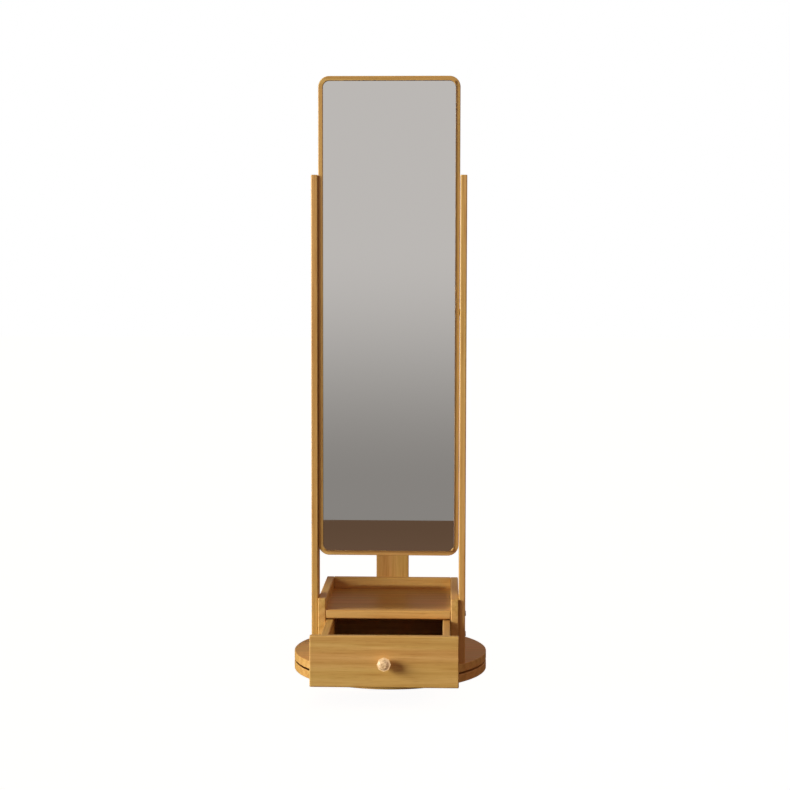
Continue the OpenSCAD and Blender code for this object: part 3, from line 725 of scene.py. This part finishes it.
low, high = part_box("coat_pegs")
peg_head = (high.z - low.z) / 2
peg_z = (low.z + high.z) / 2
peg_neck = high.y - PEG_FLARE_LENGTH - PEG_HEAD_LENGTH
peg_first, peg_last = low.x + peg_head, high.x - peg_head
pegs = []
for i in range(PEG_COUNT):
    x = peg_first + (peg_last - peg_first) * i / (PEG_COUNT - 1)
    peg = add_round("peg", PEG_RADIUS, (x, bar_high.y - 0.001, peg_z), (x, peg_neck, peg_z),
                    axis="Y", sides=40)
    pick_faces(peg, lambda mid, normal: normal.y > 0.9)
    bpy.ops.transform.resize(value=(PEG_WAIST, 1.0, PEG_WAIST))
    bpy.ops.mesh.extrude_region_move(TRANSFORM_OT_translate={"value": (0.0, PEG_FLARE_LENGTH, 0.0)})
    bpy.ops.transform.resize(value=(PEG_FLARE, 1.0, PEG_FLARE))
    bpy.ops.mesh.extrude_region_move(TRANSFORM_OT_translate={"value": (0.0, PEG_HEAD_LENGTH, 0.0)})
    bpy.ops.object.mode_set(mode="OBJECT")
    bevel_edges(peg, PEG_HEAD_EDGE, 5,
                lambda mid, way: abs(way.y) < 0.5 and mid.y > high.y - PEG_HEAD_LENGTH - NEAR)
    pegs.append(peg)
finish_piece(join_all("coat_peg_set", pegs), "turntable", "coat_pegs",
             wood_material("wood_pegs", "Y", (0.7, 0.1, 0.9)))


# --- Screws on the coat post and the peg bar --------------------------------------------------
# Zinc-plated countersunk screws with a cross recess, four through the coat post into the
# back panel and two through the peg bar into the coat post.
SCREW_HEAD_RADIUS = 0.0046
SCREW_HEAD_SUNK = 0.0015
SCREW_HEAD_RAISED = 0.0006
SCREW_HEAD_EDGE = 0.0005
BAR_SCREW_HEAD_RADIUS = 0.0054
CROSS_LENGTH = 0.0042
CROSS_WIDTH = 0.0010
CROSS_DEPTH = 0.0012


def screw_heads(name, node, radius, places):
    """Slightly raised countersunk heads that face backwards, with a cross cut into each."""
    made = []
    for x, y, z in places:
        head = add_round("head", radius, (x, y - SCREW_HEAD_SUNK, z), (x, y + SCREW_HEAD_RAISED, z),
                         axis="Y", sides=40)
        bevel_edges(head, SCREW_HEAD_EDGE, 3, lambda mid, way: abs(way.y) < 0.5 and mid.y > y)
        for wide, tall in ((CROSS_LENGTH, CROSS_WIDTH), (CROSS_WIDTH, CROSS_LENGTH)):
            cut_out(head, add_board("cutter", (x - wide / 2, y - CROSS_DEPTH, z - tall / 2),
                                    (x + wide / 2, y + 0.002, z + tall / 2)))
        made.append(head)
    finish_piece(join_all(name, made), "turntable", node, zinc)


low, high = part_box("coat_post_screws")
inset = SCREW_HEAD_RADIUS
screw_heads("coat_post_screw_heads", "coat_post_screws", inset, [
    (x, high.y, z) for x in (low.x + inset, high.x - inset) for z in (low.z + inset, high.z - inset)])
low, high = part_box("peg_bar_bolts")
inset = BAR_SCREW_HEAD_RADIUS
screw_heads("peg_bar_screw_heads", "peg_bar_bolts", inset, [
    (x, high.y, (low.z + high.z) / 2) for x in (low.x + inset, high.x - inset)])


# --- Mirror frame ---------------------------------------------------------------------------
# Four thin strips round the glass: two straight stiles and two rails whose ends curve down
# into the round corners. They meet in dowelled butt joints and are rounded over in front.
FRAME_CORNER = 0.029
FRAME_STRIP = 0.012
FRAME_EDGE = 0.0022
FRAME_LIP_EDGE = 0.0010
low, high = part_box("left_stile")
joint_low, joint_high = low.z, high.z
frame_low = Vector((low.x, low.y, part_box("bottom_rail")[0].z))
frame_high = Vector((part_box("right_stile")[1].x, high.y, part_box("top_rail")[1].z))


def upright_sheet(name, low, high, corner, segments):
    """A rounded rectangle standing in the mirror's plane, at the back of its thickness."""
    bpy.ops.object.select_all(action="DESELECT")
    middle = ((low.x + high.x) / 2, high.y, (low.z + high.z) / 2)
    bpy.ops.mesh.primitive_plane_add(size=1.0, location=middle, rotation=(math.pi / 2, 0.0, 0.0))
    bpy.context.object.scale = (high.x - low.x, high.z - low.z, 1.0)
    piece = settle(name)
    bpy.ops.object.mode_set(mode="EDIT")
    bpy.ops.mesh.select_all(action="SELECT")
    bpy.ops.mesh.bevel(offset=corner, segments=segments, affect="VERTICES")
    bpy.ops.object.mode_set(mode="OBJECT")
    return piece


def frame_strip(name, keep):
    """The whole frame, cut off at the joints so that only the kept part is left."""
    piece = upright_sheet(name, frame_low, frame_high, FRAME_CORNER, 16)
    bpy.ops.object.mode_set(mode="EDIT")
    bpy.ops.mesh.select_all(action="SELECT")
    bpy.ops.mesh.inset(thickness=FRAME_STRIP)
    bpy.ops.mesh.delete(type="FACE")
    bpy.ops.mesh.select_all(action="SELECT")
    bpy.ops.mesh.extrude_region_move(
        TRANSFORM_OT_translate={"value": (0.0, frame_low.y - frame_high.y, 0.0)})
    for point, normal in keep:
        bpy.ops.mesh.select_all(action="SELECT")
        bpy.ops.mesh.bisect(plane_co=point, plane_no=normal, use_fill=True, clear_outer=True)
    bpy.ops.mesh.select_all(action="SELECT")
    bpy.ops.mesh.remove_doubles(threshold=0.00002)
    bpy.ops.mesh.normals_make_consistent(inside=False)
    bpy.ops.object.mode_set(mode="OBJECT")
    return piece


def is_long_edge(mid, way):
    """True for the front and back edges of a strip, and not for those of its joint faces."""
    return (abs(way.y) < 0.5 and not frame_low.y + NEAR < mid.y < frame_high.y - NEAR
            and min(abs(mid.z - joint_low), abs(mid.z - joint_high)) > 0.0001)


def is_outside(mid):
    """True near the frame's outline and not near the glass."""
    half_height = (frame_high.z - frame_low.z) / 2
    from_x = abs(mid.x) - (frame_high.x - FRAME_CORNER)
    from_z = abs(mid.z - frame_low.z - half_height) - (half_height - FRAME_CORNER)
    in_corner = from_x > 0 and from_z > 0
    reach = math.hypot(from_x, from_z) if in_corner else max(from_x, from_z)
    return reach > FRAME_CORNER - FRAME_STRIP / 2


up, right = Vector((0.0, 0.0, 1.0)), Vector((1.0, 0.0, 0.0))
strips = {
    "left_stile": (((0, 0, joint_high), up), ((0, 0, joint_low), -up), ((0, 0, 0), right)),
    "right_stile": (((0, 0, joint_high), up), ((0, 0, joint_low), -up), ((0, 0, 0), -right)),
    "top_rail": (((0, 0, joint_high), -up),),
    "bottom_rail": (((0, 0, joint_low), up),),
}
for number, (node, keep) in enumerate(strips.items()):
    strip = frame_strip(node + "_strip", keep)
    bevel_edges(strip, FRAME_EDGE, 4, lambda mid, way: is_long_edge(mid, way) and is_outside(mid))
    bevel_edges(strip, FRAME_LIP_EDGE, 3, lambda mid, way: is_long_edge(mid, way)
                and not is_outside(mid))
    grain = "Z" if node.endswith("stile") else "X"
    finish_piece(strip, "mirror", node, wood_material(
        "wood_" + node, grain, (0.2 + 0.31 * number, 0.5, 0.13 * number)))


# --- Mirror glass ---------------------------------------------------------------------------
# A pane of silvered float glass, set a few millimetres back in the frame, with ground
# edges. Only the silvering shows.
SILVER = (0.90, 0.905, 0.90, 1.0)
PANE_CORNER = FRAME_CORNER - FRAME_STRIP
PANE_EDGE = 0.0005


def upright_panel(name, low, high, corner, edge):
    """A panel with round corners and fine edges, standing in the mirror's plane."""
    panel = upright_sheet(name, low, high, corner, 16)
    bpy.ops.object.mode_set(mode="EDIT")
    bpy.ops.mesh.select_all(action="SELECT")
    bpy.ops.mesh.extrude_region_move(TRANSFORM_OT_translate={"value": (0.0, low.y - high.y, 0.0)})
    bpy.ops.mesh.select_all(action="SELECT")
    bpy.ops.mesh.normals_make_consistent(inside=False)
    bpy.ops.object.mode_set(mode="OBJECT")
    bevel_edges(panel, edge, 2, lambda mid, way: abs(way.y) < 0.5)
    return panel


low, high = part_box("mirror_glass")
glass = upright_panel("mirror_pane", low, high, PANE_CORNER, PANE_EDGE)
silver = bpy.data.materials.new("silvered_glass")
silver.use_nodes = True
silver_tree = silver.node_tree
silver_shader = silver_tree.nodes["Principled BSDF"]
silver_shader.inputs["Metallic"].default_value = 1.0
silver_shader.inputs["Base Color"].default_value = SILVER
silver_where = add_node(silver_tree, "ShaderNodeTexCoord")
silver_haze = add_node(silver_tree, "ShaderNodeTexNoise", {"Scale": 9.0, "Detail": 5.0})
silver_range = add_node(silver_tree, "ShaderNodeMapRange", {
    "From Min": 0.35, "From Max": 0.75, "To Min": 0.002, "To Max": 0.022})
silver_tree.links.new(silver_where.outputs["Object"], silver_haze.inputs["Vector"])
silver_tree.links.new(silver_haze.outputs["Fac"], silver_range.inputs["Value"])
silver_tree.links.new(silver_range.outputs["Result"], silver_shader.inputs["Roughness"])
finish_piece(glass, "mirror", "mirror_glass", silver)


# --- Backing board --------------------------------------------------------------------------
# A veneered board that carries the glass and fills the back of the frame, with the pivots'
# threaded inserts in its edges.
VENEER = ((0.36, 0.180, 0.060), (0.50, 0.275, 0.105), (0.60, 0.365, 0.160))
VENEER_GLOSS = 0.55
BACKING_EDGE = 0.0010
backing = upright_panel("backing_panel", *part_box("backing_board"), PANE_CORNER, BACKING_EDGE)
finish_piece(backing, "mirror", "backing_board",
             wood_material("wood_backing", "Z", (0.44, 0.8, 0.3), tones=VENEER, gloss=VENEER_GLOSS))


# --- Drawer box -----------------------------------------------------------------------------
# Thick solid sides with a groove outside for the runner and one inside for the bottom, a
# thinner back that stands on the bottom, and a veneered bottom panel.
BOX_EDGE = 0.0022
BOX_BACK_EDGE = 0.0012
BOX_BOTTOM_EDGE = 0.0006
RUNNER_GROOVE = 0.0085
RUNNER_PLAY = 0.0005
bottom_low, bottom_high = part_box("drawer_bottom")


def cut_groove(board, low, high, x_from, x_to, z_from, z_to):
    """Ploughs a groove along a drawer side from end to end."""
    cut_out(board, add_board("cutter", (min(x_from, x_to), low.y - OVERCUT, z_from),
                             (max(x_from, x_to), high.y + OVERCUT, z_to)))


for side, sign in (("left", -1), ("right", 1)):
    low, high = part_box("drawer_" + side + "_side")
    board = add_board("drawer_" + side + "_board", low, high)
    bevel_edges(board, BOX_EDGE, 4, any_edge)
    outer, inner, slot_to = ((low.x, high.x, bottom_low.x) if sign < 0
                             else (high.x, low.x, bottom_high.x))
    run_low, run_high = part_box(side + "_runner")
    cut_groove(board, low, high, outer - sign * RUNNER_GROOVE, outer + sign * OVERCUT,
               run_low.z - RUNNER_PLAY, run_high.z + RUNNER_PLAY)
    cut_groove(board, low, high, inner - sign * OVERCUT, slot_to,
               bottom_low.z - 0.0001, bottom_high.z + 0.0001)
    finish_piece(board, "drawer", "drawer_" + side + "_side", wood_material(
        "wood_drawer_" + side, "Y", (0.3, 0.2 if sign < 0 else 0.7, 0.6)))

drawer_back = add_board("drawer_back_board", *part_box("drawer_back"))
bevel_edges(drawer_back, BOX_BACK_EDGE, 3, any_edge)
finish_piece(drawer_back, "drawer", "drawer_back",
             wood_material("wood_drawer_back", "X", (0.15, 0.9, 0.25)))
drawer_bottom = add_board("drawer_bottom_panel", *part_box("drawer_bottom"))
bevel_edges(drawer_bottom, BOX_BOTTOM_EDGE, 2, any_edge)
finish_piece(drawer_bottom, "drawer", "drawer_bottom",
             wood_material("wood_drawer_bottom", "X", (0.6, 0.1, 0.45), tones=VENEER,
                           gloss=VENEER_GLOSS))


# --- Drawer front ---------------------------------------------------------------------------
# A solid board that overlaps the case's front edges, with the grain across its width and
# its edges rounded over.
drawer_front = add_board("drawer_front_board", *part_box("drawer_front"))
bevel_edges(drawer_front, BOARD_EDGE, 5, any_edge)
finish_piece(drawer_front, "drawer", "drawer_front",
             wood_material("wood_drawer_front", "X", (0.83, 0.55, 0.05)))


# --- Knob -----------------------------------------------------------------------------------
# An eight-sided knob of pale champagne crystal. It glows with painted light, most at its wide ground
# rim, and the polished front inside the rim is cut into a star and painted with glints. It stands on
# a brass ring.
# The rim's glow is painted light: a cream emission that stands in for light passing through the
# crystal.
RIM_PAINTED_GLOW = (1.0, 0.68, 0.36)
CHAMPAGNE_RIM = (0.30, 0.19, 0.10)
# The two champagne tones below are painted glints: dark and light cells on the front stand in for
# sparkle.
CHAMPAGNE_PAINTED_DARK_FACET = (0.44, 0.26, 0.13)
CHAMPAGNE_PAINTED_GLINT = (0.92, 0.66, 0.42)
RIM_SHARE = 0.80
KNOB_RINGS = ((0.46, 0.0, 0.0, 16), (0.88, 0.30, 22.5, 8), (1.0, 0.50, 0.0, 8), (1.0, 0.66, 0.0, 8),
              (RIM_SHARE, 0.86, 0.0, 8), (0.44, 1.0, 22.5, 8))
KNOB_DISH = 0.0022
KNOB_EDGE = 0.00022
PAINTED_SPARKLE_SCALE = 330.0
CRYSTAL_IOR = 1.55
CRYSTAL_CLEARNESS = 0.12
low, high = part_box("drawer_knob")
knob_radius = (high.x - low.x) / 2
knob_z = (low.z + high.z) / 2
rings = []
for share, depth, turned, corners in KNOB_RINGS:
    bpy.ops.object.select_all(action="DESELECT")
    bpy.ops.mesh.primitive_circle_add(
        vertices=corners, radius=knob_radius * share,
        location=(0.0, high.y + (low.y - high.y) * depth, knob_z),
        rotation=(math.pi / 2, math.radians(turned), 0.0))
    rings.append(bpy.context.object)
knob = join_all("knob_crystal", rings)
bpy.ops.object.mode_set(mode="EDIT")
bpy.ops.mesh.select_all(action="SELECT")
bpy.ops.mesh.convex_hull(join_triangles=True)
bpy.ops.mesh.select_all(action="SELECT")
bpy.ops.mesh.normals_make_consistent(inside=False)
bpy.ops.object.mode_set(mode="OBJECT")
pick_faces(knob, lambda mid, normal: normal.y < -0.99)
bpy.ops.mesh.inset(thickness=0.0006)
bpy.ops.mesh.poke()
bpy.ops.object.mode_set(mode="OBJECT")
for point in knob.data.vertices:
    if math.hypot(point.co.x, point.co.z - knob_z) < NEAR and point.co.y < low.y + NEAR:
        point.co.y += KNOB_DISH
bevel_edges(knob, KNOB_EDGE, 1, lambda mid, way: mid.y < high.y - NEAR)
crystal = bpy.data.materials.new("champagne_crystal")
crystal.use_nodes = True
crystal_tree = crystal.node_tree
crystal_shader = crystal_tree.nodes["Principled BSDF"]
crystal_where = add_node(crystal_tree, "ShaderNodeTexCoord")
crystal_centre = add_node(crystal_tree, "ShaderNodeMapping")
crystal_centre.inputs["Location"].default_value = (0.0, 0.0, -knob_z)
crystal_centre.inputs["Scale"].default_value = (1.0, 0.0, 1.0)
crystal_radius = add_node(crystal_tree, "ShaderNodeVectorMath", operation="LENGTH")
crystal_rim = add_node(crystal_tree, "ShaderNodeMapRange", {
    "From Min": knob_radius * (RIM_SHARE - 0.08), "From Max": knob_radius * (RIM_SHARE - 0.02)})
# Painted sparkle: a cell pattern mixes the dark and light tones across the front.
crystal_sparkle_cells = add_node(crystal_tree, "ShaderNodeTexVoronoi", {"Scale": PAINTED_SPARKLE_SCALE})
crystal_painted_sparkle = add_node(crystal_tree, "ShaderNodeMix", data_type="RGBA")
crystal_painted_sparkle.inputs["A"].default_value = (*CHAMPAGNE_PAINTED_DARK_FACET, 1.0)
crystal_painted_sparkle.inputs["B"].default_value = (*CHAMPAGNE_PAINTED_GLINT, 1.0)
crystal_colour = add_node(crystal_tree, "ShaderNodeMix", data_type="RGBA")
crystal_colour.inputs["B"].default_value = (*CHAMPAGNE_RIM, 1.0)
crystal_painted_glow = add_node(crystal_tree, "ShaderNodeMapRange", {"To Min": 0.14, "To Max": 0.55})
crystal_fine = add_node(crystal_tree, "ShaderNodeTexNoise", {"Scale": 160.0, "Detail": 3.0})
crystal_range = add_node(crystal_tree, "ShaderNodeMapRange", {
    "From Min": 0.3, "From Max": 0.7, "To Min": 0.04, "To Max": 0.12})
link = crystal_tree.links.new
link(crystal_where.outputs["Object"], crystal_centre.inputs["Vector"])
link(crystal_centre.outputs["Vector"], crystal_radius.inputs[0])
link(crystal_radius.outputs["Value"], crystal_rim.inputs["Value"])
link(crystal_where.outputs["Object"], crystal_sparkle_cells.inputs["Vector"])
link(crystal_sparkle_cells.outputs["Color"], crystal_painted_sparkle.inputs["Factor"])
link(crystal_rim.outputs["Result"], crystal_colour.inputs["Factor"])
link(crystal_painted_sparkle.outputs["Result"], crystal_colour.inputs["A"])
link(crystal_colour.outputs["Result"], crystal_shader.inputs["Base Color"])
# Painted glow: the emission rises from a faint glow on the front to a stronger one at the rim.
link(crystal_rim.outputs["Result"], crystal_painted_glow.inputs["Value"])
link(crystal_painted_glow.outputs["Result"], crystal_shader.inputs["Emission Strength"])
link(crystal_where.outputs["Object"], crystal_fine.inputs["Vector"])
link(crystal_fine.outputs["Fac"], crystal_range.inputs["Value"])
link(crystal_range.outputs["Result"], crystal_shader.inputs["Roughness"])
crystal_shader.inputs["Transmission Weight"].default_value = CRYSTAL_CLEARNESS
crystal_shader.inputs["IOR"].default_value = CRYSTAL_IOR
crystal_shader.inputs["Emission Color"].default_value = (*RIM_PAINTED_GLOW, 1.0)
knob.data.materials.append(crystal)
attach(knob, "drawer")
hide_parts("drawer_knob")

BRASS = (0.78, 0.56, 0.25)
RING_CHAMFER = 0.0010
brass = plain_material("satin_brass", BRASS, 0.28, metallic=1.0, grain_size=600.0, relief=0.05)
low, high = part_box("knob_base")
ring = add_round("knob_ring", (high.x - low.x) / 2, (0, low.y, knob_z), (0, high.y, knob_z),
                 axis="Y", sides=56)
pick_faces(ring, lambda mid, normal: normal.y < -0.9)
bpy.ops.mesh.inset(thickness=0.0018)
bpy.ops.object.mode_set(mode="OBJECT")
bevel_edges(ring, RING_CHAMFER, 4, lambda mid, way: abs(way.y) < 0.5 and mid.y < low.y + NEAR)
finish_piece(ring, "drawer", "knob_base", brass)


# --- Hidden parts -----------------------------------------------------------------------------
# The bearing, the bolts, screws, dowels, bushes and runners keep the shapes they are made
# to, and get the finishes of zinc-plated steel, brass, nylon and planed hardwood.
HARDWOOD = ((0.30, 0.150, 0.052), (0.42, 0.240, 0.100), (0.52, 0.330, 0.155))
NYLON = (0.78, 0.77, 0.71)
nylon = plain_material("nylon", NYLON, 0.5, grain_size=500.0, relief=0.08)
hardwood = wood_material("hardwood", "Y", (0.11, 0.21, 0.31), tones=HARDWOOD, gloss=0.6)
finishes = {
    "steel": (zinc, ("lower_race", "lower_race_screws", "centre_bolt", "centre_nut",
                     "centre_washers", "bearing_balls", "upper_race", "upper_race_screws",
                     "runner_screws", "disc_screws", "pivot_bolts", "knob_screw")),
    "brass": (brass, ("post_inserts", "pivot_inserts")),
    "nylon": (nylon, ("ball_cage", "pivot_bushes", "pivot_washers")),
    "hardwood": (hardwood, ("case_dowels", "left_runner", "right_runner", "drawer_stop",
                            "drawer_cleat", "frame_dowels", "drawer_dowels")),
}
for slot, (material, nodes) in finishes.items():
    for node in nodes:
        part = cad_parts[node]
        part.data.materials.clear()
        part.data.materials.append(material)
